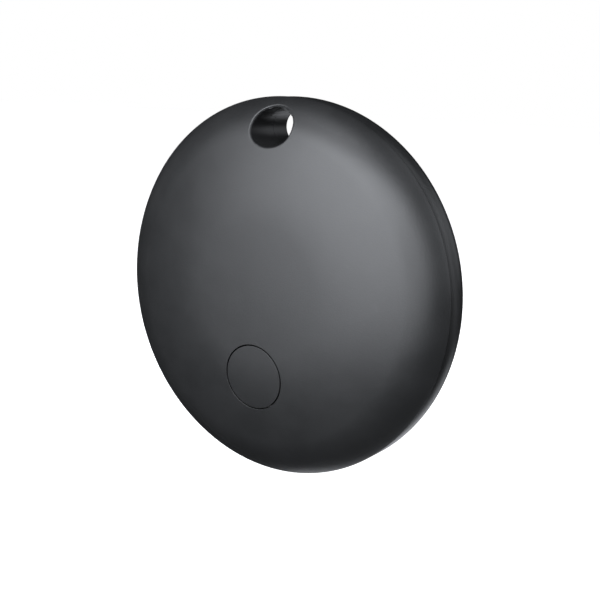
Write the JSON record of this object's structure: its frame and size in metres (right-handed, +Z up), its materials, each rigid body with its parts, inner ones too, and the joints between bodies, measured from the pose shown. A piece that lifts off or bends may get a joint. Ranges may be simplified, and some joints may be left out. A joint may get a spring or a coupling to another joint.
{
  "type": "bluetooth tracker tag",
  "caption": "Round black tracker tag with a domed face, an oval keyring hole, a flush push button and a pull-off rear cover over a coin cell.",
  "frame": {"origin": "centre of the disc's bounding box, on its axis, half way through its thickness", "axes": "+Z up towards the keyring hole, +Y along the disc's axis out of the flat back, the domed face looks along -Y, +X to the right seen from the front"},
  "size_m": [0.038, 0.008, 0.038],
  "materials": {
    "shell_plastic": "black moulded plastic with a fine spark grain",
    "cover_plastic": "black moulded plastic with a fine spark grain",
    "button_plastic": "black moulded plastic with a fine spark grain",
    "seal_rubber": "black silicone",
    "switch_plastic": "pressed steel cover",
    "plunger_plastic": "black nylon",
    "board_laminate": "green solder mask on glass laminate",
    "chip_plastic": "black moulded epoxy",
    "crystal_metal": "plated can",
    "antenna_ceramic": "white fired ceramic",
    "capacitor_ceramic": "brown fired ceramic",
    "resistor_ceramic": "black coated ceramic",
    "inductor_ferrite": "grey ferrite",
    "pad_gold": "gold-plated copper",
    "adhesive_foam": "white double-sided foam tape",
    "buzzer_brass": "rolled brass",
    "buzzer_ceramic": "fired piezo ceramic",
    "electrode_silver": "printed silver",
    "contact_gold": "gold-plated spring strip",
    "tray_plastic": "black moulded plastic",
    "screw_steel": "zinc-plated steel",
    "contact_nickel": "nickel-plated spring strip",
    "cell_steel": "nickel-plated steel, turned look",
    "cell_gasket_plastic": "dark nylon",
    "pad_foam": "dark closed-cell foam"
  },
  "bodies": {
    "tag_body": {"front_shell": "shell_plastic", "button_seal": "seal_rubber", "switch_body": "switch_plastic", "main_board": "board_laminate", "radio_chip": "chip_plastic", "crystal_fast": "crystal_metal", "crystal_slow": "crystal_metal", "chip_antenna": "antenna_ceramic", "capacitors": "capacitor_ceramic", "resistors": "resistor_ceramic", "inductors": "inductor_ferrite", "test_pads": "pad_gold", "buzzer_adhesive": "adhesive_foam", "buzzer_plate": "buzzer_brass", "buzzer_ceramic": "buzzer_ceramic", "buzzer_electrode": "electrode_silver", "buzzer_contacts": "contact_gold", "battery_tray": "tray_plastic", "tray_screws": "screw_steel", "negative_contact": "contact_nickel", "positive_contact": "contact_nickel", "cell_can": "cell_steel", "cell_cap": "cell_steel", "cell_gasket": "cell_gasket_plastic"},
    "button": {"button_cap": "button_plastic"},
    "plunger": {"switch_plunger": "plunger_plastic"},
    "cover": {"rear_cover": "cover_plastic", "cover_gasket": "seal_rubber", "cell_pad": "pad_foam"}
  },
  "joints": [
    {"name": "button_press", "type": "slide", "parent": "tag_body", "child": "button", "axis": [0, 1, 0], "range_m": [0, 0.0002], "stiffness_N_per_m": 4000},
    {"name": "plunger_press", "type": "slide", "parent": "tag_body", "child": "plunger", "axis": [0, 1, 0], "range_m": [0, 0.0002]},
    {"name": "cover_pull", "type": "slide", "parent": "tag_body", "child": "cover", "axis": [0, 1, 0], "range_m": [0, 0.015]}
  ],
  "couplings": [
    {"joint": "plunger_press", "follows": "button_press", "ratio": 1}
  ]
}
